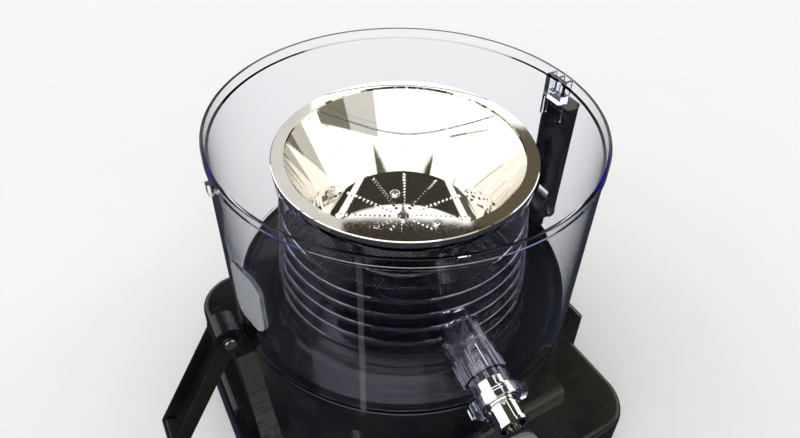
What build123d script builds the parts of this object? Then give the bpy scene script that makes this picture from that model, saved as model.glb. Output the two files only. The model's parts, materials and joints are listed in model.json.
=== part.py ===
"""Centrifugal juicer: motor base, clear pulp bowl, steel strainer basket and two side clamps.

Millimetres, +Z up. The origin is on the surface that the juicer stands on, under the axis that the
bowl, the basket and the motor share. The juice spout points to -Y, the clamps stand at -X and +X.
The right clamp is upright, and the left clamp is swung open against its stop.
"""
from build123d import *
from math import cos, radians, sin, sqrt
import os

os.makedirs("parts", exist_ok=True)

# ---- driving dimensions: bowl -------------------------------------------------------------------
RIM_R = 110.0  # outer radius of the bowl's rim
RIM_Z = 240.0  # height of the rim above the table
LIP_H = 6.0  # height of the thin lip above the ledge
BOWL_FLOOR_Z = 122.0  # underside of the bowl
BOWL_FOOT_R = 108.6  # outer radius at the floor
FLOOR_T = 2.6
WALL_T = 2.4
COLLAR_R = 21.0  # inner radius of the collar that keeps juice away from the shaft
COLLAR_TOP_Z = 137.0

# ---- juice ring and spout -----------------------------------------------------------------------
RING_R = 74.0  # outer radius of the juice ring below its top edge
RING_TOP_Z = 210.0
RING_T = 1.8
RING_STEPS = 6  # the lower wall grows by one step at a time
RING_STEP_R = 1.0
RING_STEP_H = 10.0
SPOUT_ANGLE = -95.5  # direction of the spout in plan, in degrees
SPOUT_DROP = 7.0  # how far the spout slopes down, in degrees
SPOUT_R = 12.0  # outer radius of the clear root tube
SPOUT_T = 2.0
SPOUT_START_R = 76.0  # plan distance where the root tube leaves the juice ring
SPOUT_END_R = 122.0
FLANGE_AT_R = 117.0  # plan distance of the collar on the root tube
FLANGE_T = 5.0
SPOUT_WALL_Z = 139.5  # height of the spout's axis where it meets the outer wall
NOZZLE_R = 8.5
NOZZLE_T = 1.4
NOZZLE_END_R = 134.0  # distance of the nozzle's mouth from the bowl's axis

# ---- strainer basket ----------------------------------------------------------------------------
FLANGE_R = 76.4
FLANGE_Z = 217.5  # top face of the rim flange
CONE_TOP_R = 69.0
DISC_R = 45.3
DISC_Z = 165.0  # top face of the grater disc
SHEET_T = 1.0
SCREW_ANGLES = (74.0, 194.0, 314.0)
SCREW_PITCH_R = 22.0

# ---- motor base ---------------------------------------------------------------------------------
BASE_X = 236.0
BASE_Y = 255.0
BASE_CENTRE_Y = 1.5
BASE_BACK_Y = BASE_CENTRE_Y + BASE_Y / 2
BASE_CORNER_R = 28.0
FOOT_H = 6.0
FOOT_R = 11.0
SHOULDER_Z = 35.0  # top of the wide skirt
SHELL_T = 3.0
SKIRT_EDGE_R = 5.0
DECK_Z = 118.0  # top of the deck under the bowl
DECK_T = 3.0
PEDESTAL_TOP_R = 107.0
PEDESTAL_FOOT_R = 113.0

# ---- clamps -------------------------------------------------------------------------------------
HINGE_X = 119.0
HINGE_Z = 127.0
PIN_R = 2.0
ARM_LENGTH = 88.0  # from the hinge pin to the tip
ARM_DEPTH = 9.0
ARM_FOOT_W = 22.0
ARM_TIP_W = 24.0
ARM_T = 2.2
LIP_REACH = 4.0  # finger lip at the arm's tip
KNUCKLE_R = 8.0
KNUCKLE_W = 15.4
POST_X = 117.0  # outer face of the pillars that carry the hinges
POST_TOP_Z = 112.0
POST_FOOT_HALF = 55.0
POST_TOP_HALF = 11.0
BUTTRESS_X = 127.0  # outer face of the rounded block at the foot of each pillar
BUTTRESS_HALF = 58.0
BUTTRESS_TOP_Z = 58.0
BUTTRESS_EDGE_R = 7.0
LEFT_OPEN = 150.0  # how far the left clamp has swung out from upright, in degrees
PAD_TURN = 192.3  # middle of the bowl's raised pad, in degrees in plan
PAD_WIDTH = 28.0
PAD_HEIGHT = 39.5
PAD_MIDDLE_Z = 173.3
PAD_CORNER_R = 9.0
PAD_FACE_R = 110.3

COVER_SCREWS = [(-104, -50), (104, -50), (-104, 50), (104, 50), (0, -112), (0, 114)]
FEET = {"front_left": (-92, -95), "front_right": (92, -95), "rear_left": (-92, 98), "rear_right": (92, 98)}
GLAND_X = 70.0
GLAND_Z = 20.0
GLAND_R = 7.0

# ---- motor --------------------------------------------------------------------------------------
SHAFT_R = 4.0
STACK_Z0 = 52.0
STACK_Z1 = 84.0
ROTOR_R = 22.0
STATOR_R = 37.0
AIR_GAP = 0.6
MOUNTS = [(x, y) for x in (-28, 28) for y in (-28, 28)]
MOUNT_REACH = 40.0  # distance of each rubber mount from the motor's axis

# ---- control knob -------------------------------------------------------------------------------
CONSOLE_Y = -120.0  # front face of the control console
KNOB_Z = 66.0
KNOB_R = 21.0

NODES = {}


def node(name, shape):
    """Keeps a finished sub-part under its node name."""
    NODES[name] = shape


def cylinder_z(radius, z0, z1, x=0.0, y=0.0):
    """Upright cylinder between two heights."""
    return Pos(x, y, z0) * Cylinder(radius, z1 - z0, align=(Align.CENTER, Align.CENTER, Align.MIN))


def tube_z(outer, inner, z0, z1, x=0.0, y=0.0):
    """Upright tube between two heights."""
    return cylinder_z(outer, z0, z1, x, y) - cylinder_z(inner, z0 - 1, z1 + 1, x, y)


def turned(points):
    """Solid turned about Z from a closed outline of (radius, height) points."""
    outline = Polyline(*[(r, 0, z) for r, z in points], close=True)
    return revolve(make_face(outline), axis=Axis.Z)


def block(x0, x1, y0, y1, z0, z1):
    """Box between two corners."""
    low = (Align.MIN, Align.MIN, Align.MIN)
    return Pos(x0, y0, z0) * Box(x1 - x0, y1 - y0, z1 - z0, align=low)


def cylinder_y(radius, y0, y1, x, z):
    """Cylinder along Y."""
    along_y = Rot(-90, 0, 0) * Cylinder(radius, y1 - y0, align=(Align.CENTER, Align.CENTER, Align.MIN))
    return Pos(x, y0, z) * along_y


def rounded_slab(width, depth, corner, z0, z1):
    """Upright slab with rounded corners, centred on the base."""
    outline = Pos(0, BASE_CENTRE_Y, z0) * RectangleRounded(width, depth, corner)
    return extrude(outline, z1 - z0)


def mirrored_x(shape):
    """The same shape on the other side of the YZ plane."""
    return mirror(shape, about=Plane.YZ)


# ---- bowl ---------------------------------------------------------------------------------------
SPOUT_DIR = Vector(
    cos(radians(SPOUT_ANGLE)) * cos(radians(SPOUT_DROP)),
    sin(radians(SPOUT_ANGLE)) * cos(radians(SPOUT_DROP)),
    -sin(radians(SPOUT_DROP)),
)


def spout_point(distance):
    """Point on the spout's axis at a plan distance from the bowl's axis."""
    wall = Vector(cos(radians(SPOUT_ANGLE)), sin(radians(SPOUT_ANGLE)), 0) * RIM_R
    start = wall + Vector(0, 0, SPOUT_WALL_Z)
    return start + SPOUT_DIR * ((distance - RIM_R) / cos(radians(SPOUT_DROP)))


def along_spout(radius, r0, r1):
    """Cylinder along the spout between two plan distances from the bowl's axis."""
    start, end = spout_point(r0), spout_point(r1)
    plane = Plane(origin=start, z_dir=SPOUT_DIR)
    low = (Align.CENTER, Align.CENTER, Align.MIN)
    return plane * Cylinder(radius, (end - start).length, align=low)


def ring_radius(z):
    """Outer radius of the juice ring at a height: it grows in steps towards the floor."""
    stepped_top = BOWL_FLOOR_Z + FLOOR_T + RING_STEPS * RING_STEP_H
    steps = int((stepped_top - z) / RING_STEP_H) + 1
    return RING_R + max(0, min(RING_STEPS, steps)) * RING_STEP_R


def right_catch():
    """Notched catch on the bowl's right wall, over the tip of the upright clamp."""
    half, outer_x, z0, z1 = 8.0, 116.5, 218.0, 234.0
    rail_w, rail_z0 = 1.6, 205.0
    catch = block(BOWL_FOOT_R - 1.0, outer_x, -half, half, z0, z1)
    catch -= block(outer_x - 4.0, outer_x + 1, -half + 2.0, -1.0, z0 + 5.0, z1 + 1)
    catch -= block(outer_x - 4.0, outer_x + 1, 1.0, half - 2.0, z0 + 5.0, z1 + 1)
    rail = block(BOWL_FOOT_R - 1.0, 113.0, -half, -half + rail_w, rail_z0, z0)
    return catch + rail + mirror(rail, about=Plane.XZ)


def left_nub():
    """Small locating nub under the rim on the left."""
    return block(-112.6, -(BOWL_FOOT_R - 1.0), -7.0, -2.0, 231.0, 237.0)


def wall_pad():
    """Rounded raised pad on the bowl's left wall, in front of the clamp."""
    band = tube_z(PAD_FACE_R, BOWL_FOOT_R - 0.6, PAD_MIDDLE_Z - PAD_HEIGHT / 2, PAD_MIDDLE_Z + PAD_HEIGHT / 2)
    towards = (cos(radians(PAD_TURN)), sin(radians(PAD_TURN)), 0)
    face = Plane(origin=(0, 0, PAD_MIDDLE_Z), x_dir=(0, 0, 1), z_dir=towards)
    outline = face * RectangleRounded(PAD_HEIGHT, PAD_WIDTH, PAD_CORNER_R)
    return band & extrude(outline, PAD_FACE_R + 10)


def outer_bowl():
    """Clear pulp bowl with a stepped rim, a floor, a centre collar and the two clamp guides."""
    ledge_z = RIM_Z - LIP_H
    inside = BOWL_FOOT_R - WALL_T
    floor_top = BOWL_FLOOR_Z + FLOOR_T
    shell = turned([
        (COLLAR_R, BOWL_FLOOR_Z),
        (BOWL_FOOT_R - 2.0, BOWL_FLOOR_Z),
        (BOWL_FOOT_R, BOWL_FLOOR_Z + 2.0),
        (RIM_R - 0.8, ledge_z - 1.0),
        (RIM_R, ledge_z),
        (RIM_R, RIM_Z),
        (RIM_R - 1.8, RIM_Z),
        (RIM_R - 1.8, ledge_z + 0.5),
        (RIM_R - 3.2, ledge_z - 0.5),
        (inside, floor_top),
        (COLLAR_R + WALL_T, floor_top),
        (COLLAR_R + WALL_T - 0.4, COLLAR_TOP_Z),
        (COLLAR_R, COLLAR_TOP_Z),
    ])
    bore = cylinder_z(inside + 0.6, floor_top, RIM_Z + 1)
    extras = (right_catch() + left_nub() + wall_pad()) - bore
    hole = along_spout(SPOUT_R + 0.05, 84.0, 124.0)
    return (shell + extras) - hole


def juice_ring():
    """Clear ring round the basket: it gathers the juice and leads it to the spout."""
    floor_top = BOWL_FLOOR_Z + FLOOR_T
    outer = [(RING_R + RING_STEPS * RING_STEP_R, floor_top)]
    for step in range(RING_STEPS):
        z = floor_top + (step + 1) * RING_STEP_H
        outer.append((RING_R + (RING_STEPS - step) * RING_STEP_R, z - 1.2))
        outer.append((RING_R + (RING_STEPS - step - 1) * RING_STEP_R, z))
    lip = [
        (RING_R, RING_TOP_Z - 5.0),
        (RING_R + 1.4, RING_TOP_Z - 4.0),
        (RING_R + 1.4, RING_TOP_Z),
        (RING_R - RING_T, RING_TOP_Z),
    ]
    inner = [(r - RING_T, z) for r, z in reversed(outer)]
    ring = turned(outer + lip + inner)
    return ring - along_spout(SPOUT_R + 0.05, 60.0, 100.0)


def spout_tube():
    """Clear root tube of the spout, with ribs along it."""
    tube = along_spout(SPOUT_R, SPOUT_START_R, SPOUT_END_R)
    rib_start_r, rib_length = 91.0, 13.5
    ribs = Part()
    for count in range(12):
        turn = radians(30 * count)
        plane = Plane(origin=spout_point(rib_start_r), z_dir=SPOUT_DIR)
        low = (Align.CENTER, Align.CENTER, Align.MIN)
        offset = Pos((SPOUT_R - 0.2) * cos(turn), (SPOUT_R - 0.2) * sin(turn), 0)
        ribs += plane * offset * Cylinder(0.9, rib_length, align=low)
    bore = along_spout(SPOUT_R - SPOUT_T, SPOUT_START_R - 6, SPOUT_END_R + 2)
    inside_ring = cylinder_z(ring_radius(SPOUT_WALL_Z) - RING_T - 0.2, 100.0, 200.0)
    return (tube + ribs) - bore - inside_ring


def spout_flange():
    """Clear collar with two short lugs outside the wall, round the end of the root tube."""
    sideways = (-sin(radians(SPOUT_ANGLE)), cos(radians(SPOUT_ANGLE)), 0)
    plane = Plane(origin=spout_point(FLANGE_AT_R), x_dir=sideways, z_dir=SPOUT_DIR)
    low = (Align.CENTER, Align.CENTER, Align.MIN)
    collar = plane * Cylinder(SPOUT_R + 2.0, FLANGE_T, align=low)
    lugs = plane * Box(2 * SPOUT_R + 8.0, 9.0, FLANGE_T, align=low)
    tab = plane * Pos(0, -(SPOUT_R + 1.0), 0) * Box(9.0, 7.0, FLANGE_T, align=low)
    hole = along_spout(SPOUT_R + 0.05, FLANGE_AT_R - 5, SPOUT_END_R + 5)
    return (collar + lugs + tab) - hole


def spout_nozzle():
    """Narrower outlet tube that carries the juice clear of the base."""
    body = along_spout(NOZZLE_R, SPOUT_END_R - 12, NOZZLE_END_R)
    bead = along_spout(NOZZLE_R + 0.7, NOZZLE_END_R - 1.6, NOZZLE_END_R)
    shoulder = along_spout(SPOUT_R - SPOUT_T - 0.05, SPOUT_END_R - 7, SPOUT_END_R)
    bore = along_spout(NOZZLE_R - NOZZLE_T, SPOUT_END_R - 20, NOZZLE_END_R + 2)
    return (body + bead + shoulder) - bore


node("outer_bowl", outer_bowl())
node("juice_ring", juice_ring())
node("spout_tube", spout_tube())
node("spout_flange", spout_flange())
node("spout_nozzle", spout_nozzle())


# ---- strainer basket ----------------------------------------------------------------------------
def basket_rim():
    """Flat steel flange with a rolled outer hem."""
    return turned([
        (CONE_TOP_R, FLANGE_Z - SHEET_T),
        (FLANGE_R - 1.6, FLANGE_Z - SHEET_T),
        (FLANGE_R - 1.6, FLANGE_Z - 4.0),
        (FLANGE_R - 0.4, FLANGE_Z - 4.0),
        (FLANGE_R, FLANGE_Z - 3.4),
        (FLANGE_R, FLANGE_Z - 0.5),
        (FLANGE_R - 0.5, FLANGE_Z),
        (CONE_TOP_R, FLANGE_Z),
    ])


def strainer_cone():
    """Steel strainer wall between the flange and the grater disc."""
    return turned([
        (DISC_R, DISC_Z - 2.5),
        (DISC_R + 0.9, DISC_Z - 2.5),
        (DISC_R + 0.9, DISC_Z - 0.2),
        (CONE_TOP_R + 0.9, FLANGE_Z - 2.0),
        (CONE_TOP_R + 0.9, FLANGE_Z - SHEET_T),
        (CONE_TOP_R, FLANGE_Z - SHEET_T),
        (CONE_TOP_R, FLANGE_Z - 1.8),
        (DISC_R, DISC_Z),
    ])


def grater_disc():
    """Toothed disc at the bottom of the basket, with holes for its screws and the centre pin."""
    disc = tube_z(DISC_R - 0.1, 3.05, DISC_Z - 1.2, DISC_Z)
    for angle in SCREW_ANGLES:
        x, y = SCREW_PITCH_R * cos(radians(angle)), SCREW_PITCH_R * sin(radians(angle))
        disc -= cylinder_z(1.65, DISC_Z - 3, DISC_Z + 1, x, y)
    drain = radians(133.0)
    return disc - cylinder_z(1.4, DISC_Z - 3, DISC_Z + 1, 34 * cos(drain), 34 * sin(drain))


def basket_hub():
    """Plastic hub under the disc, with the socket that sits on the drive coupling."""
    top = DISC_Z - 1.2
    hub = turned([
        (0, 152.0),
        (10.6, 152.0),
        (10.6, 140.0),
        (15.5, 140.0),
        (17.0, 150.0),
        (40.0, 158.0),
        (43.5, 161.0),
        (43.5, top),
        (0, top),
    ])
    for angle in SCREW_ANGLES:
        x, y = SCREW_PITCH_R * cos(radians(angle)), SCREW_PITCH_R * sin(radians(angle))
        hub -= cylinder_z(1.55, top - 5, top + 1, x, y)
    return hub - cylinder_z(3.05, top - 5, top + 1)


def disc_screw(angle):
    """Domed screw with a cross slot."""
    screw = cylinder_z(3.4, DISC_Z, DISC_Z + 0.8)
    dome = Pos(0, 0, DISC_Z - 1.9) * Sphere(4.3)
    screw += dome & cylinder_z(3.4, DISC_Z + 0.5, DISC_Z + 3)
    screw += cylinder_z(1.5, DISC_Z - 6.0, DISC_Z + 0.1)
    for turn in (0, 90):
        slot = Rot(0, 0, turn + angle) * Box(4.2, 0.8, 1.6)
        screw -= Pos(0, 0, DISC_Z + 2.4) * slot
    return Pos(SCREW_PITCH_R * cos(radians(angle)), SCREW_PITCH_R * sin(radians(angle)), 0) * screw


def centre_pin():
    """Pointed pin that steadies the food, screwed into the hub."""
    pin = turned([
        (0, DISC_Z - 6.0),
        (3.0, DISC_Z - 6.0),
        (3.0, DISC_Z),
        (3.6, DISC_Z),
        (3.6, DISC_Z + 1.0),
        (2.2, DISC_Z + 1.6),
        (1.8, DISC_Z + 4.6),
        (0.6, DISC_Z + 6.6),
        (0, DISC_Z + 6.6),
    ])
    return pin - Pos(0, 0, DISC_Z + 6.6) * Box(6, 0.8, 2.4)


node("basket_rim", basket_rim())
node("strainer_cone", strainer_cone())
node("grater_disc", grater_disc())
node("basket_hub", basket_hub())
node("disc_screws", Compound([disc_screw(angle) for angle in SCREW_ANGLES]))
node("centre_pin", centre_pin())


# ---- motor base: shells -------------------------------------------------------------------------
def clamp_post(inset):
    """Right pillar under the hinge, with a rounded block at its foot. Inset makes the inner void."""
    foot_half, top_half = POST_FOOT_HALF - inset, POST_TOP_HALF - inset
    post_x, block_x, block_half = POST_X - inset, BUTTRESS_X - inset, BUTTRESS_HALF - inset
    foot_z = FOOT_H if inset == 0 else FOOT_H - 1
    inner_x = 90.0
    outline = Polyline(
        (inner_x, -foot_half, foot_z),
        (inner_x, foot_half, foot_z),
        (inner_x, foot_half, SHOULDER_Z),
        (inner_x, top_half, POST_TOP_Z - inset),
        (inner_x, -top_half, POST_TOP_Z - inset),
        (inner_x, -foot_half, SHOULDER_Z),
        close=True,
    )
    pillar = extrude(make_face(outline), post_x - inner_x, dir=(1, 0, 0))
    foot = block(inner_x, block_x, -block_half, block_half, foot_z, BUTTRESS_TOP_Z - inset)
    round_edges = [e for e in foot.edges() if e.center().X > block_x - 1 and e.center().Z > foot_z + 1]
    return pillar + fillet(round_edges, BUTTRESS_EDGE_R - inset)


def knuckle():
    """Neck and hinge knuckle at the top of the right pillar."""
    half = KNUCKLE_W / 2
    neck = block(RIM_R + 1.2, HINGE_X - 1.5, -half, half, POST_TOP_Z - 4, HINGE_Z)
    eye = cylinder_y(KNUCKLE_R, -half, half, HINGE_X, HINGE_Z)
    pin_hole = cylinder_y(PIN_R + 0.03, -half - 1, half + 1, HINGE_X, HINGE_Z)
    return (neck + eye) - pin_hole


def console(inset):
    """Control console on the front of the pedestal."""
    half = 46.0 - inset
    box = block(-half, half, CONSOLE_Y + inset, -80.0, SHOULDER_Z - 10, 100.0 - inset)
    front = [e for e in box.edges() if abs(e.center().Y - (CONSOLE_Y + inset)) < 0.01 and e.center().Z > 40]
    return fillet(front, 9.0 - inset)


def housing_outer(inset):
    """Pedestal, skirt and console, shrunk by inset for the inner void."""
    top = SHOULDER_Z - inset
    skirt = rounded_slab(BASE_X - 2 * inset, BASE_Y - 2 * inset, BASE_CORNER_R - inset, FOOT_H, top)
    top_edges = [e for e in skirt.edges() if abs(e.center().Z - top) < 0.01]
    skirt = fillet(top_edges, SKIRT_EDGE_R - inset)
    pedestal = turned([
        (0, SHOULDER_Z - 10),
        (PEDESTAL_FOOT_R - inset, SHOULDER_Z - 10),
        (PEDESTAL_FOOT_R - inset, SHOULDER_Z + 20),
        (PEDESTAL_TOP_R - inset, 100.0),
        (PEDESTAL_TOP_R - inset, DECK_Z - DECK_T),
        (0, DECK_Z - DECK_T),
    ])
    post = clamp_post(inset)
    return skirt + pedestal + console(inset) + post + mirrored_x(post)


def motor_housing():
    """Black outer shell of the base, open below, with an open top that the deck closes."""
    outside = housing_outer(0)
    inside = housing_outer(SHELL_T) + rounded_slab(BASE_X - 2 * SHELL_T, BASE_Y - 2 * SHELL_T,
                                                   BASE_CORNER_R - SHELL_T, FOOT_H - 1, FOOT_H + 4)
    shell = outside - inside
    shell += knuckle() + mirrored_x(knuckle())
    shell -= cylinder_z(PEDESTAL_TOP_R - SHELL_T - 3, 100.0, 130.0)
    shell -= cylinder_y(3.6, CONSOLE_Y - 1, -90.0, 0, KNOB_Z)
    shell -= cylinder_y(GLAND_R + 0.05, BASE_BACK_Y - 15, BASE_BACK_Y + 1, GLAND_X, GLAND_Z)
    for x in range(-40, 41, 10):
        shell -= block(x - 2.5, x + 2.5, BASE_BACK_Y - 7, BASE_BACK_Y + 1, 14.0, 26.0)
    return shell


def top_deck():
    """Deck under the bowl: seat rim, drip channel and the tower round the shaft."""
    deck = turned([
        (12.0, DECK_Z - DECK_T),
        (PEDESTAL_TOP_R, DECK_Z - DECK_T),
        (PEDESTAL_TOP_R, DECK_Z + 2.0),
        (PEDESTAL_TOP_R - 1.5, BOWL_FLOOR_Z - 0.2),
        (PEDESTAL_TOP_R - 7.0, BOWL_FLOOR_Z - 0.2),
        (PEDESTAL_TOP_R - 9.0, DECK_Z),
        (86.0, DECK_Z),
        (84.0, DECK_Z + 2.0),
        (80.0, DECK_Z + 2.0),
        (78.0, DECK_Z),
        (19.0, DECK_Z),
        (17.5, DECK_Z + 9.0),
        (12.0, DECK_Z + 9.0),
    ])
    seat = tube_z(PEDESTAL_TOP_R - 2.5, PEDESTAL_TOP_R - 6.0, BOWL_FLOOR_Z - 0.5, BOWL_FLOOR_Z)
    return deck + seat


def base_plate():
    """Bottom cover with air slots and screw holes."""
    inset = SHELL_T + 0.3
    plate = rounded_slab(BASE_X - 2 * inset, BASE_Y - 2 * inset, BASE_CORNER_R - inset, FOOT_H, FOOT_H + 3)
    reach, half = BUTTRESS_X - inset, BUTTRESS_HALF - SHELL_T - BUTTRESS_EDGE_R
    plate += block(-reach, reach, -half, half, FOOT_H, FOOT_H + 3)
    for ring in (24.0, 34.0):
        for count in range(12):
            slot = Pos(ring, 0, FOOT_H) * Box(7, 3.2, 12)
            plate -= Rot(0, 0, 30 * count) * slot
    for x, y in COVER_SCREWS:
        plate -= cylinder_z(2.1, FOOT_H - 1, FOOT_H + 5, x, y)
    return plate



def cover_boss(x, y):
    """Screw boss that stands on the base plate inside the housing."""
    return tube_z(4.5, 1.4, FOOT_H + 3, SHOULDER_Z - SHELL_T, x, y)


def cover_screw(x, y):
    """Pan-head screw that holds the base plate."""
    head = cylinder_z(3.6, FOOT_H - 2.0, FOOT_H, x, y)
    slot = Pos(x, y, FOOT_H - 2.0) * Box(4.2, 0.9, 1.6)
    return head + cylinder_z(1.35, FOOT_H - 0.1, FOOT_H + 14, x, y) - slot


node("motor_housing", motor_housing())
node("screw_bosses", Compound([cover_boss(x, y) for x, y in COVER_SCREWS]))
node("top_deck", top_deck())
node("base_plate", base_plate())
node("cover_screws", Compound([cover_screw(x, y) for x, y in COVER_SCREWS]))

for place, (foot_x, foot_y) in FEET.items():
    pad = cylinder_z(FOOT_R, 0.0, FOOT_H, foot_x, foot_y)
    node("foot_" + place, pad + cylinder_z(3.0, FOOT_H - 0.1, FOOT_H + 5, foot_x, foot_y))
    NODES["base_plate"] -= cylinder_z(3.05, FOOT_H - 1, FOOT_H + 5, foot_x, foot_y)


# ---- motor --------------------------------------------------------------------------------------
def bearing(z0, z1):
    """Outer race of a shaft bearing, seen as one ring with a groove."""
    race = tube_z(11.0, SHAFT_R + 0.05, z0, z1)
    return race - tube_z(8.6, 6.6, z1 - 0.8, z1 + 1) - tube_z(8.6, 6.6, z0 - 1, z0 + 0.8)


def stator_core():
    """Laminated stator with two flats."""
    core = tube_z(STATOR_R, ROTOR_R + AIR_GAP, STACK_Z0, STACK_Z1)
    return core & block(-STATOR_R, STATOR_R, -31, 31, STACK_Z0, STACK_Z1)


def field_coil(side):
    """One field winding: an arc of copper above and below the stator."""
    arc = tube_z(33.0, 24.5, STACK_Z1, STACK_Z1 + 7) + tube_z(33.0, 24.5, STACK_Z0 - 7, STACK_Z0)
    reach = 40.0 * side
    return arc & block(min(4 * side, reach), max(4 * side, reach), -30, 30, STACK_Z0 - 8, STACK_Z1 + 8)


def bracket(z0, z1, seat_z0, seat_z1):
    """Motor end bracket: four arms and a bearing seat."""
    seat = tube_z(15.0, 11.05, seat_z0, seat_z1)
    arms = block(-46, 46, -8, 8, z0, z1) + block(-8, 8, -46, 46, z0, z1)
    arms = Rot(0, 0, 45) * arms
    plate = (arms + seat) - cylinder_z(11.05, seat_z0 - 1, seat_z1 + 1)
    for x, y in MOUNTS:
        plate -= cylinder_z(2.6, z0 - 1, z1 + 1, x, y)
    return plate - cylinder_z(11.05, z0 - 1, z1 + 1)



def rotor_core():
    """Laminated rotor with slots."""
    core = tube_z(ROTOR_R, SHAFT_R, STACK_Z0, STACK_Z1)
    for count in range(12):
        slot = Pos(ROTOR_R, 0, (STACK_Z0 + STACK_Z1) / 2) * Box(5, 1.6, STACK_Z1 - STACK_Z0 + 2)
        core -= Rot(0, 0, 30 * count) * slot
    return core


def cooling_fan():
    """Fan under the motor: a hub, a disc and nine blades."""
    fan = tube_z(9.0, SHAFT_R, 24.0, 33.0) + tube_z(34.0, SHAFT_R, 31.5, 33.0)
    for count in range(9):
        blade = Pos(20.5, 0, 28.2) * Rot(0, 0, 18) * Box(25, 1.4, 7.4)
        fan += Rot(0, 0, 40 * count) * blade
    return fan


def drive_coupling():
    """Splined coupling on top of the shaft."""
    body = turned([
        (SHAFT_R, 130.0),
        (13.0, 130.0),
        (13.0, 134.0),
        (9.4, 135.5),
        (9.4, 150.0),
        (8.0, 151.5),
        (SHAFT_R, 151.5),
    ])
    for count in range(6):
        groove = Pos(9.6, 0, 144.0) * Cylinder(1.2, 18)
        body -= Rot(0, 0, 60 * count) * groove
    return body


node("motor_shaft", cylinder_z(SHAFT_R, 14.0, 151.5))
node("rotor_core", rotor_core())
node("rotor_winding", tube_z(18.0, SHAFT_R + 2, STACK_Z1, STACK_Z1 + 7)
     + tube_z(18.0, SHAFT_R + 2, STACK_Z0 - 5, STACK_Z0))
node("commutator", tube_z(10.0, SHAFT_R, 35.0, 46.0))
node("cooling_fan", cooling_fan())
node("drive_coupling", drive_coupling())
node("water_slinger", turned([(SHAFT_R, 127.6), (15.5, 127.6), (14.5, 129.4), (SHAFT_R, 129.4)]))
node("stator_core", stator_core())
node("field_coil_left", field_coil(-1))
node("field_coil_right", field_coil(1))
node("upper_bearing", bearing(96.0, 104.0))
node("lower_bearing", bearing(15.0, 22.0))
node("upper_bracket", bracket(94.0, 97.0, 96.9, 104.0))
node("lower_bracket", bracket(11.5, 14.5, 14.4, 22.0))
node("shaft_seal", turned([
    (SHAFT_R + 0.1, DECK_Z + 6.0),
    (11.9, DECK_Z + 2.0),
    (11.9, DECK_Z + 8.0),
    (SHAFT_R + 0.1, DECK_Z + 7.5),
]))


def motor_bolt(x, y):
    """Long bolt that ties the two brackets together."""
    head = cylinder_z(4.0, 97.0, 100.0, x, y)
    return head + cylinder_z(2.5, 11.0, 97.1, x, y)


node("motor_bolts", Compound([motor_bolt(x, y) for x, y in MOUNTS]))

mount_offset = MOUNT_REACH / sqrt(2)
for place, (foot_x, foot_y) in FEET.items():
    mount_x = mount_offset if foot_x > 0 else -mount_offset
    mount_y = mount_offset if foot_y > 0 else -mount_offset
    node("rubber_mount_" + place, tube_z(4.6, 1.5, 100.4, DECK_Z - DECK_T, mount_x, mount_y))


def brush_holder(side):
    """Brass box that guides one carbon brush on to the commutator."""
    box = block(12.0, 30.0, -5.0, 5.0, 36.0, 45.0)
    slot = block(11.0, 31.0, -3.6, 3.6, 37.4, 43.6)
    holder = box - slot
    return holder if side > 0 else mirrored_x(holder)


def carbon_brush(side):
    """Carbon brush, just clear of the commutator."""
    brush = block(10.0, 24.0, -3.5, 3.5, 37.5, 43.5) - cylinder_z(10.1, 30.0, 50.0)
    return brush if side > 0 else mirrored_x(brush)


for side_name, side_sign in (("left", -1), ("right", 1)):
    node("brush_holder_" + side_name, brush_holder(side_sign))
    node("carbon_brush_" + side_name, carbon_brush(side_sign))


# ---- controls and mains -------------------------------------------------------------------------
def control_knob():
    """Round knob with a finger bar and a pointer groove."""
    face = CONSOLE_Y - 2.4
    knob = cylinder_y(KNOB_R, face - 7.0, face, 0, KNOB_Z)
    bar = block(-5.0, 5.0, face - 17.0, face - 6.9, KNOB_Z - KNOB_R + 1, KNOB_Z + KNOB_R - 1)
    bar = bar & cylinder_y(KNOB_R - 0.5, face - 18.0, face, 0, KNOB_Z)
    groove = block(-0.7, 0.7, face - 18.0, face - 15.8, KNOB_Z + 4, KNOB_Z + KNOB_R)
    stem = cylinder_y(3.5, face - 0.1, -104.0, 0, KNOB_Z)
    return (knob + bar) - groove + stem


node("control_knob", control_knob())
dial = cylinder_y(KNOB_R + 5.0, CONSOLE_Y - 2.0, CONSOLE_Y, 0, KNOB_Z)
node("dial_ring", dial - cylinder_y(3.6, CONSOLE_Y - 3, CONSOLE_Y + 1, 0, KNOB_Z))
switch_body = block(-14, 14, -116.5, -98.0, KNOB_Z - 14, KNOB_Z + 14)
node("speed_switch", switch_body - cylinder_y(3.6, -118.0, -97.0, 0, KNOB_Z))
node("suppressor_capacitor", block(-66, -40, 60, 80, FOOT_H + 3, 26.0))
node("terminal_block", block(46, 74, 60, 76, FOOT_H + 3, 24.0) - cylinder_z(2.0, 16.0, 30.0, 60, 68))
inside_y = BASE_BACK_Y - SHELL_T - 0.1
gland = cylinder_y(GLAND_R + 2.5, BASE_BACK_Y, BASE_BACK_Y + 3, GLAND_X, GLAND_Z)
gland += cylinder_y(GLAND_R, inside_y - 6, BASE_BACK_Y + 0.1, GLAND_X, GLAND_Z)
gland += cylinder_y(GLAND_R + 2, inside_y - 6, inside_y, GLAND_X, GLAND_Z)
node("cord_gland", gland - cylinder_y(3.6, inside_y - 10, BASE_BACK_Y + 6, GLAND_X, GLAND_Z))


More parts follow.
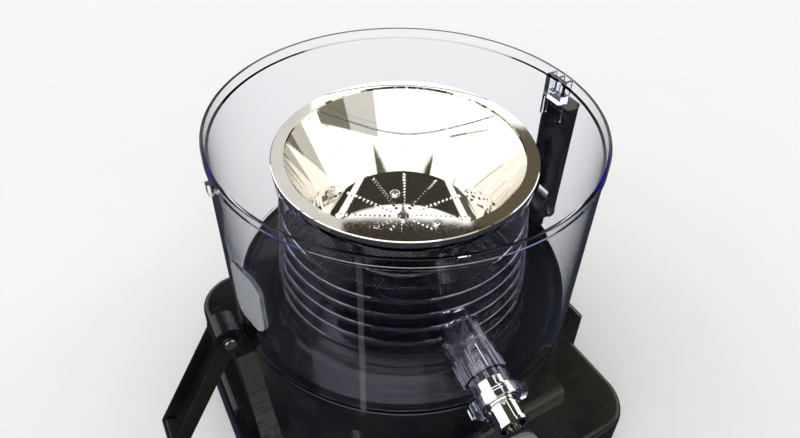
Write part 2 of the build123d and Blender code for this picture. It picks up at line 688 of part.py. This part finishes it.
# ---- clamps -------------------------------------------------------------------------------------
def clamp_arm():
    """Right clamp, upright: a channel that opens towards the bowl, with a lip at its tip."""
    inner_x, outer_x = HINGE_X - ARM_DEPTH / 2, HINGE_X + ARM_DEPTH / 2
    tip_z = HINGE_Z + ARM_LENGTH

    def prism(shrink, x0, x1, z0, z1):
        """Tapered bar: wide at the tip, narrower at the hinge."""
        def half(z):
            share = (z - HINGE_Z) / ARM_LENGTH
            return (ARM_FOOT_W + (ARM_TIP_W - ARM_FOOT_W) * share) / 2 - shrink
        outline = Polyline((x0, -half(z0), z0), (x0, half(z0), z0), (x0, half(z1), z1), (x0, -half(z1), z1),
                           close=True)
        return extrude(make_face(outline), x1 - x0, dir=(1, 0, 0))

    foot_z = HINGE_Z - ARM_DEPTH / 2
    arm = prism(0, inner_x, outer_x, foot_z, tip_z)
    arm -= prism(ARM_T, inner_x - 1, outer_x - ARM_T, HINGE_Z + 8, tip_z - 3.0)
    arm -= prism(ARM_T, inner_x - 1, outer_x + 1, foot_z - 1, HINGE_Z + 12)
    round_off = block(inner_x - 1, outer_x + 1, -20, 20, foot_z - 1, HINGE_Z)
    arm -= round_off - cylinder_y(ARM_DEPTH / 2, -30, 30, HINGE_X, HINGE_Z)
    arm -= prism(6.0, outer_x - 0.9, outer_x + 1, HINGE_Z + 24, tip_z - 14)
    arm += block(outer_x - 1, outer_x + LIP_REACH, -9, 9, tip_z - 3.0, tip_z)
    return arm - cylinder_y(PIN_R + 0.06, -30, 30, HINGE_X, HINGE_Z)


def clamp_pad():
    """Soft pad under the lip, which presses on the lid."""
    tip_z = HINGE_Z + ARM_LENGTH
    inner_x, outer_x = HINGE_X - ARM_DEPTH / 2, HINGE_X + ARM_DEPTH / 2 - ARM_T
    return block(inner_x + 0.5, outer_x, -8, 8, tip_z - 5.0, tip_z - 3.0)


def hinge_pin():
    """Steel pin of the right clamp's hinge, with a flat head."""
    half = ARM_FOOT_W / 2
    pin = cylinder_y(PIN_R, -half - 0.6, half + 0.6, HINGE_X, HINGE_Z)
    return pin + cylinder_y(3.4, -half - 1.6, -half - 0.4, HINGE_X, HINGE_Z)


def swung_open(shape):
    """The left clamp's own pieces, turned outwards about its hinge."""
    hinge = Pos(-HINGE_X, 0, HINGE_Z)
    return hinge * Rot(0, -LEFT_OPEN, 0) * hinge.inverse() * mirrored_x(shape)


node("right_clamp", clamp_arm())
node("right_clamp_pad", clamp_pad())
node("right_hinge_pin", hinge_pin())
node("left_clamp", swung_open(clamp_arm()))
node("left_clamp_pad", swung_open(clamp_pad()))
node("left_hinge_pin", mirrored_x(hinge_pin()))

for name, shape in NODES.items():
    shape.label = name
    export_step(shape, "parts/" + name + ".step")
print(len(NODES), "nodes")
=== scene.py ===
"""Looks of the centrifugal juicer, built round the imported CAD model. Metres, +Z up.

The spin axis is at x = y = 0, the juice spout points to -Y and the clamps stand at -X and +X.
"""
import json
import math

import bmesh
import bpy
from mathutils import Euler, Matrix, Vector


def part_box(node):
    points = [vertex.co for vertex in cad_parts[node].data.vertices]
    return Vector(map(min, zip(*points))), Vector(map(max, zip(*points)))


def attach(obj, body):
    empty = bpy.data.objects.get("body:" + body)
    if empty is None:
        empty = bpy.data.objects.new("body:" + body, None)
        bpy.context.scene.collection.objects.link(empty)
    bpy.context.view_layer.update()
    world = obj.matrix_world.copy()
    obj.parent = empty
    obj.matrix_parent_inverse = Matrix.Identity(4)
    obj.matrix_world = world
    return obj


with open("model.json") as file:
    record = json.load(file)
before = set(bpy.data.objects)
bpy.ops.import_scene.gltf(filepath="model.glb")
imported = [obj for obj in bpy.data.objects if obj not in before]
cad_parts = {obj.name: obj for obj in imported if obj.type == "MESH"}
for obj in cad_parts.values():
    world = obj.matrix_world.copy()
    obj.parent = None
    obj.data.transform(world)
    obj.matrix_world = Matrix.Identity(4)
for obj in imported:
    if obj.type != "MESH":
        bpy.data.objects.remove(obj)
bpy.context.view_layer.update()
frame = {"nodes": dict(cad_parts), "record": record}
NODES = frame["nodes"]

# ---- camera: placed by the concentric rims of the bowl and the basket -----------------------------
CAMERA_PLACE = (-0.1493, -0.2484, 0.4275)
CAMERA_PITCH = 37.07  # degrees below the horizon
CAMERA_HEADING = -30.45  # degrees from +Y, about +Z
CAMERA_ROLL = 1.44
CAMERA_LENS = 28.17
CAMERA_SHIFT_Y = -0.0737

# ---- studio ---------------------------------------------------------------------------------------
FLOOR_HALF = 40.0
SKY_WHITE = (1.0, 1.0, 1.0)
SKY_STRENGTH = 1.62


def add_camera():
    """The camera, at the place and angle that the rims give."""
    data = bpy.data.cameras.new("view_camera")
    data.lens = CAMERA_LENS
    data.shift_y = CAMERA_SHIFT_Y
    data.clip_start = 0.01
    camera = bpy.data.objects.new("view_camera", data)
    turn = Euler((math.radians(90 - CAMERA_PITCH), 0, math.radians(CAMERA_HEADING))).to_matrix()
    turn = turn @ Matrix.Rotation(math.radians(CAMERA_ROLL), 3, "Z")
    camera.matrix_world = Matrix.Translation(CAMERA_PLACE) @ turn.to_4x4()
    bpy.context.scene.collection.objects.link(camera)
    bpy.context.scene.camera = camera


# ---- node helpers ---------------------------------------------------------------------------------
class Graph:
    """A material's or world's node tree, with short calls to add and join nodes."""

    def __init__(self, tree):
        self.tree = tree
        tree.nodes.clear()

    def add(self, kind, **values):
        """A new node. Values are its properties, or its inputs by name with _ for a space."""
        item = self.tree.nodes.new(kind)
        for key, value in values.items():
            if hasattr(item, key):
                setattr(item, key, value)
            else:
                item.inputs[key.replace("_", " ")].default_value = value
        return item

    def join(self, source, target):
        """Links an output to an input."""
        self.tree.links.new(source, target)

    def math(self, operation, a, b=0.0):
        """Math on two sockets or numbers."""
        item = self.tree.nodes.new("ShaderNodeMath")
        item.operation = operation
        for place, value in enumerate((a, b)):
            if isinstance(value, (int, float)):
                item.inputs[place].default_value = value
            else:
                self.join(value, item.inputs[place])
        return item.outputs[0]

    def ramp(self, value, low, high, out_low=0.0, out_high=1.0):
        """Value mapped from one range to another, clamped."""
        item = self.tree.nodes.new("ShaderNodeMapRange")
        item.interpolation_type = "SMOOTHSTEP"
        self.join(value, item.inputs["Value"])
        item.inputs["From Min"].default_value = low
        item.inputs["From Max"].default_value = high
        item.inputs["To Min"].default_value = out_low
        item.inputs["To Max"].default_value = out_high
        return item.outputs["Result"]

    def blend(self, share, a, b):
        """Mix of two colours, each a socket or a tuple."""
        item = self.tree.nodes.new("ShaderNodeMix")
        item.data_type = "RGBA"
        self.join(share, item.inputs[0])
        for place, value in ((6, a), (7, b)):
            if isinstance(value, tuple):
                item.inputs[place].default_value = (*value, 1.0)
            else:
                self.join(value, item.inputs[place])
        return item.outputs[2]

    def noise(self, scale, detail=3.0, coords=None):
        """Noise over the object's own coordinates."""
        item = self.add("ShaderNodeTexNoise", Scale=scale, Detail=detail)
        self.join(coords or self.place(), item.inputs["Vector"])
        return item.outputs["Fac"]

    def place(self):
        """The point on the object, in metres."""
        return self.add("ShaderNodeTexCoord").outputs["Object"]


ROOM_DARK = (0.014, 0.016, 0.026)  # the dark room that gloss surfaces mirror below the horizon; also painted onto the floor as its painted dark reflection colour

# Light and dark cards round the juicer that its steel and gloss surfaces mirror. Each is a range of
# azimuth from the camera's heading, positive to the right, a range of elevation, and a colour.
CARDS = (
    (-180, 180, -90, -1, ROOM_DARK),
    (-157, -153, -75, -25, (0.6, 0.6, 0.6)),
    (117, 148, 2, 46, (0.46, 0.45, 0.42)),
    (88, 118, 2, 46, (0.15, 0.14, 0.10)),
    (-180, 180, 65.5, 91, (0.035, 0.032, 0.026)),
    (-60, -9.5, 28, 42.4, (0.46, 0.455, 0.44)),
    (9, 75, 33, 44, (0.075, 0.062, 0.042)),
    (-80, 75, 42.4, 60, (0.030, 0.024, 0.016)),
    (-80, -7, 42.4, 60, (0.085, 0.085, 0.065)),
    (-40, -7, 41.5, 45, (0.44, 0.43, 0.40)),
)
CARD_EDGE = 0.4  # softness of the cards' edges, in degrees


def between(g, value, low, high):
    """1 where a value is between two edges, with soft edges. An edge at +-180 degrees is left out."""
    share = None
    if low > -180:
        share = g.ramp(value, low - CARD_EDGE, low + CARD_EDGE, 0.0, 1.0)
    if high < 180:
        fall = g.ramp(value, high - CARD_EDGE, high + CARD_EDGE, 1.0, 0.0)
        share = fall if share is None else g.math("MULTIPLY", share, fall)
    return share


def add_world():
    """White studio sky with the cards on it."""
    world = bpy.data.worlds.new("studio")
    bpy.context.scene.world = world
    world.use_nodes = True
    g = Graph(world.node_tree)
    look = g.add("ShaderNodeTexCoord").outputs["Generated"]
    turned = g.add("ShaderNodeVectorRotate", rotation_type="Z_AXIS")
    turned.inputs["Angle"].default_value = -math.radians(CAMERA_HEADING)
    g.join(look, turned.inputs["Vector"])
    axes = g.add("ShaderNodeSeparateXYZ")
    g.join(turned.outputs[0], axes.inputs[0])
    to_degrees = 180 / math.pi
    azimuth = g.math("MULTIPLY", g.math("ARCTAN2", axes.outputs["X"], axes.outputs["Y"]), to_degrees)
    elevation = g.math("MULTIPLY", g.math("ARCSINE", axes.outputs["Z"]), to_degrees)
    colour = SKY_WHITE
    for left, right, low, high, tint in CARDS:
        share = between(g, elevation, low, high)
        across = between(g, azimuth, left, right)
        if across is not None:
            share = g.math("MULTIPLY", across, share)
        colour = g.blend(share, colour, tint)
    back = g.add("ShaderNodeBackground", Strength=SKY_STRENGTH)
    g.join(colour, back.inputs["Color"])
    out = g.add("ShaderNodeOutputWorld")
    g.join(back.outputs[0], out.inputs["Surface"])


def add_floor():
    """Pale floor, painted the dark room colour wherever a ray reaches it after a glossy bounce: a painted
    dark reflection.
    """
    mesh = bpy.data.meshes.new("studio_floor")
    corners = [(x * FLOOR_HALF, y * FLOOR_HALF, 0) for x, y in ((-1, -1), (1, -1), (1, 1), (-1, 1))]
    mesh.from_pydata(corners, [], [(0, 1, 2, 3)])
    floor = bpy.data.objects.new("studio_floor", mesh)
    bpy.context.scene.collection.objects.link(floor)
    material = bpy.data.materials.new("pale_floor")
    material.use_nodes = True
    g = Graph(material.node_tree)
    shader = g.add("ShaderNodeBsdfPrincipled", Roughness=0.85)
    pale = g.blend(g.noise(14.0), (0.93, 0.93, 0.93), (0.96, 0.96, 0.96))
    # Painted reflection: after a glossy bounce the floor's colour is swapped for the dark room colour.
    painted_reflection_mask = g.math("GREATER_THAN", g.add("ShaderNodeLightPath").outputs["Glossy Depth"], 0.5)
    g.join(g.blend(painted_reflection_mask, pale, ROOM_DARK), shader.inputs["Base Color"])
    g.join(shader.outputs[0], g.add("ShaderNodeOutputMaterial").inputs["Surface"])
    mesh.materials.append(material)
    floor.visible_glossy = False  # gloss surfaces mirror the dark room below the horizon instead


# ---- materials ------------------------------------------------------------------------------------
def new_material(name, **values):
    """A material with one Principled shader. Returns the material, its graph, the shader and the output."""
    material = bpy.data.materials.new(name)
    material.use_nodes = True
    g = Graph(material.node_tree)
    shader = g.add("ShaderNodeBsdfPrincipled", **values)
    out = g.add("ShaderNodeOutputMaterial")
    g.join(shader.outputs["BSDF"], out.inputs["Surface"])
    return material, g, shader, out


def bump(g, shader, height, distance, strength=1.0):
    """Bump from a height between 0 and 1, in metres."""
    item = g.add("ShaderNodeBump", Strength=strength, Distance=distance)
    g.join(height, item.inputs["Height"])
    g.join(item.outputs["Normal"], shader.inputs["Normal"])


CLEAR_IOR = 1.49
CLEAR_ABSORPTION = 18.0  # per metre
PAD_ANGLE = 192.3  # where the bowl's rounded pad is, in degrees in plan
PAD_HALF = (0.0140, 0.0197)  # half width and half height
PAD_CORNER_R = 0.009
PAD_MIDDLE_Z = 0.1733
PAD_INNER_R = 0.104
PAD_TRANSMISSION = 0.80
PAD_ROUGHNESS = 0.14


def on_pad(g):
    """1 on the raised pad of the bowl's wall, 0 elsewhere."""
    turn = math.radians(PAD_ANGLE)
    axes = ((math.cos(turn), math.sin(turn), 0), (-math.sin(turn), math.cos(turn), 0))
    out, side = [g.add("ShaderNodeVectorMath", operation="DOT_PRODUCT") for _ in axes]
    place = g.place()
    for item, axis in zip((out, side), axes):
        g.join(place, item.inputs[0])
        item.inputs[1].default_value = axis
    height = g.add("ShaderNodeSeparateXYZ")
    g.join(place, height.inputs[0])
    rise = g.math("SUBTRACT", height.outputs["Z"], PAD_MIDDLE_Z)
    past = 0.0
    for value, half in ((side.outputs["Value"], PAD_HALF[0]), (rise, PAD_HALF[1])):
        over = g.math("MAXIMUM", g.math("SUBTRACT", g.math("ABSOLUTE", value), half - PAD_CORNER_R), 0.0)
        past = g.math("ADD", g.math("MULTIPLY", over, over), past)
    inside = g.math("LESS_THAN", past, PAD_CORNER_R ** 2)
    return g.math("MULTIPLY", inside, g.math("GREATER_THAN", out.outputs["Value"], PAD_INNER_R))


def clear_plastic():
    """Clear moulded plastic, bluer where light runs along the wall, and milky on the pad."""
    material, g, shader, out = new_material("clear_plastic", IOR=CLEAR_IOR)
    shader.inputs["Specular Tint"].default_value = (0.22, 0.22, 0.26, 1.0)
    frost = on_pad(g)
    g.join(g.blend(frost, (0.985, 0.987, 1.0), (0.93, 0.95, 0.93)), shader.inputs["Base Color"])
    g.join(g.ramp(frost, 0.0, 1.0, 1.0, PAD_TRANSMISSION), shader.inputs["Transmission Weight"])
    haze = g.ramp(g.noise(60.0, 5.0), 0.45, 0.85, 0.0, 0.03)
    g.join(g.math("ADD", haze, g.math("MULTIPLY", frost, PAD_ROUGHNESS)), shader.inputs["Roughness"])
    bump(g, shader, g.noise(22.0, 1.0), 0.0002, 0.12)
    tint = g.add("ShaderNodeVolumeAbsorption", Density=CLEAR_ABSORPTION)
    tint.inputs["Color"].default_value = (0.25, 0.30, 0.90, 1.0)
    g.join(tint.outputs[0], out.inputs["Volume"])
    return material


def polished_steel():
    """Mirror-polished stainless sheet, a little spotted and uneven."""
    material, g, shader, _ = new_material("polished_steel", Metallic=1.0)
    spots = g.noise(900.0, 2.0)
    g.join(g.blend(g.ramp(g.noise(35.0), 0.3, 0.7), (0.90, 0.88, 0.84), (0.83, 0.81, 0.76)),
           shader.inputs["Base Color"])
    g.join(g.ramp(spots, 0.35, 0.8, 0.025, 0.07), shader.inputs["Roughness"])
    bump(g, shader, g.noise(70.0, 2.0), 0.0001, 0.10)
    return material


def black_gloss():
    """Black gloss moulding with orange peel, light scratches, and a painted dull olive-grey sheen in random
    patches, which are also rougher.
    """
    material, g, shader, _ = new_material("black_gloss")
    shader.inputs["Specular IOR Level"].default_value = 0.35
    # Painted sheen: random patches where the base colour is lifted to a lighter olive-grey, and the
    # roughness is raised.
    painted_sheen_mask = g.ramp(g.noise(11.0, 4.0), 0.42, 0.72)
    g.join(g.blend(painted_sheen_mask, (0.006, 0.006, 0.008), (0.020, 0.021, 0.016)), shader.inputs["Base Color"])
    stretched = g.add("ShaderNodeMapping", Scale=(40.0, 900.0, 300.0), Rotation=(0.4, 0.3, 0.7))
    g.join(g.place(), stretched.inputs["Vector"])
    scratches = g.ramp(g.noise(1.0, 2.0, stretched.outputs[0]), 0.62, 0.75)
    rough = g.math("ADD", g.ramp(painted_sheen_mask, 0.0, 1.0, 0.10, 0.24), g.math("MULTIPLY", scratches, 0.18))
    g.join(rough, shader.inputs["Roughness"])
    bump(g, shader, g.math("ADD", g.noise(260.0, 1.0), g.math("MULTIPLY", scratches, -0.5)), 0.0003, 0.25)
    return material


def satin(name, dark, light, roughness, grain, depth):
    """Plain solid material with a fine grain: moulded plastic, rubber or carbon."""
    material, g, shader, _ = new_material(name)
    g.join(g.blend(g.ramp(g.noise(grain * 0.1, 4.0), 0.3, 0.7), dark, light), shader.inputs["Base Color"])
    g.join(g.ramp(g.noise(grain, 3.0), 0.3, 0.7, roughness - 0.06, roughness + 0.06),
           shader.inputs["Roughness"])
    bump(g, shader, g.noise(grain, 3.0), depth, 0.5)
    return material


def metal(name, dark, light, roughness, stretch):
    """Machined or drawn metal with fine marks along one direction."""
    material, g, shader, _ = new_material(name, Metallic=1.0)
    marks = g.add("ShaderNodeMapping", Scale=stretch)
    g.join(g.place(), marks.inputs["Vector"])
    lines = g.noise(1.0, 4.0, marks.outputs[0])
    g.join(g.blend(lines, dark, light), shader.inputs["Base Color"])
    g.join(g.ramp(lines, 0.3, 0.7, roughness - 0.06, roughness + 0.08), shader.inputs["Roughness"])
    bump(g, shader, lines, 0.0001, 0.4)
    return material


# Dark colour, light colour, roughness, grains per metre, and depth of the grain in metres.
SATIN_LOOKS = {
    "hub_plastic": ((0.010, 0.010, 0.011), (0.020, 0.020, 0.022), 0.34, 1400.0, 0.0001),
    "black_deck": ((0.004, 0.004, 0.006), (0.009, 0.009, 0.011), 0.12, 700.0, 0.00003),
    "dial_grey": ((0.22, 0.22, 0.23), (0.28, 0.28, 0.29), 0.38, 1200.0, 0.0001),
    "black_rubber": ((0.014, 0.014, 0.014), (0.026, 0.026, 0.026), 0.72, 1500.0, 0.0002),
    "carbon": ((0.03, 0.03, 0.03), (0.06, 0.06, 0.06), 0.55, 2200.0, 0.0001),
    "switch_plastic": ((0.06, 0.06, 0.07), (0.10, 0.10, 0.11), 0.45, 1300.0, 0.0001),
}

# Dark colour, light colour, roughness, and marks per metre along x, y and z.
METAL_LOOKS = {
    "bright_steel": ((0.60, 0.60, 0.59), (0.75, 0.75, 0.73), 0.16, (900, 900, 60)),
    "motor_steel": ((0.32, 0.32, 0.33), (0.52, 0.52, 0.53), 0.34, (60, 60, 3000)),
    "bracket_metal": ((0.55, 0.56, 0.57), (0.68, 0.69, 0.70), 0.30, (700, 40, 700)),
    "copper": ((0.55, 0.22, 0.09), (0.80, 0.38, 0.18), 0.26, (40, 40, 2200)),
    "brass": ((0.62, 0.45, 0.18), (0.78, 0.60, 0.28), 0.24, (500, 60, 500)),
}


def make_materials():
    """Every material, by the name of its slot in the record."""
    made = {
        "clear_plastic": clear_plastic(),
        "polished_steel": polished_steel(),
        "black_gloss": black_gloss(),
    }
    for name, look in SATIN_LOOKS.items():
        made[name] = satin(name, *look)
    for name, look in METAL_LOOKS.items():
        made[name] = metal(name, *look)
    return made


MATERIALS = make_materials()


def dress_nodes():
    """Gives every CAD node the material of its slot in the record."""
    for row in frame["record"]["subparts"]:
        item = NODES[row["node"]]
        item.data.materials.clear()
        item.data.materials.append(MATERIALS[row["material_slot"]])


# ---- grater teeth ---------------------------------------------------------------------------------
TOOTH_ROWS = 12
TOOTH_FIRST_ANGLE = 29.0  # degrees in plan
TOOTH_START_R = 0.0085
TOOTH_STEP = 0.0030
TEETH_IN_ROW = 12
TOOTH_HALF_WIDTH = 0.0009
TOOTH_LENGTH = 0.0022
TOOTH_HEIGHT = 0.0014
TOOTH_SINK = 0.0001  # how far a tooth's foot is let into the disc
SCREW_ANGLES = (74.0, 194.0, 314.0)
SCREW_PITCH_R = 0.022
SCREW_CLEAR = 0.0048


def near_screw(x, y):
    """True where a screw head covers the disc."""
    for angle in SCREW_ANGLES:
        sx = SCREW_PITCH_R * math.cos(math.radians(angle))
        sy = SCREW_PITCH_R * math.sin(math.radians(angle))
        if math.hypot(x - sx, y - sy) < SCREW_CLEAR:
            return True
    return False


def add_tooth(mesh, place, turn):
    """A punched tooth: a closed wedge with a sharp raised edge on its cutting side."""
    side, end = TOOTH_HALF_WIDTH, TOOTH_LENGTH / 2
    back_x, back_y, back_z = -0.2 * end, 0.4 * side, 0.55 * TOOTH_HEIGHT
    foot = [(-end, -side, 0), (end, -side, 0), (end, side, 0), (-end, side, 0)]
    tip = (0.9 * end, 0.0, TOOTH_HEIGHT)
    back = [(back_x, -back_y, back_z), (back_x, back_y, back_z)]
    rotation = Matrix.Rotation(turn, 3, "Z")
    points = [mesh.verts.new(place + rotation @ Vector(corner)) for corner in (*foot, tip, *back)]
    foot_face = ((3, 2, 1, 0),)
    front_faces = ((1, 2, 4), (1, 4, 5), (2, 6, 4), (4, 6, 5))
    back_faces = ((0, 1, 5), (2, 3, 6), (3, 0, 5), (3, 5, 6))
    for face in foot_face + front_faces + back_faces:
        mesh.faces.new([points[corner] for corner in face])


def grater_teeth():
    """Twelve straight rows of punched teeth on the disc."""
    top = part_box("grater_disc")[1].z
    mesh = bmesh.new()
    for row in range(TOOTH_ROWS):
        angle = math.radians(TOOTH_FIRST_ANGLE + 360 / TOOTH_ROWS * row)
        for count in range(TEETH_IN_ROW):
            reach = TOOTH_START_R + TOOTH_STEP * count
            x, y = reach * math.cos(angle), reach * math.sin(angle)
            if near_screw(x, y):
                continue
            add_tooth(mesh, Vector((x, y, top - TOOTH_SINK)), angle + math.pi / 2)
    bmesh.ops.recalc_face_normals(mesh, faces=mesh.faces)
    data = bpy.data.meshes.new("grater_teeth")
    mesh.to_mesh(data)
    mesh.free()
    data.materials.append(MATERIALS["polished_steel"])
    teeth = bpy.data.objects.new("grater_teeth", data)
    bpy.context.scene.collection.objects.link(teeth)
    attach(teeth, "basket")


CLEAR_WALL_BOUNCES = 24
MIRROR_BOUNCES = 8


def set_light_paths():
    """Enough bounces to see through the nested clear walls, and a plain view transform."""
    cycles = bpy.context.scene.cycles
    cycles.max_bounces = CLEAR_WALL_BOUNCES
    cycles.transmission_bounces = CLEAR_WALL_BOUNCES
    cycles.glossy_bounces = MIRROR_BOUNCES
    bpy.context.scene.view_settings.view_transform = "Standard"


add_camera()
add_world()
add_floor()
dress_nodes()
grater_teeth()
set_light_paths()
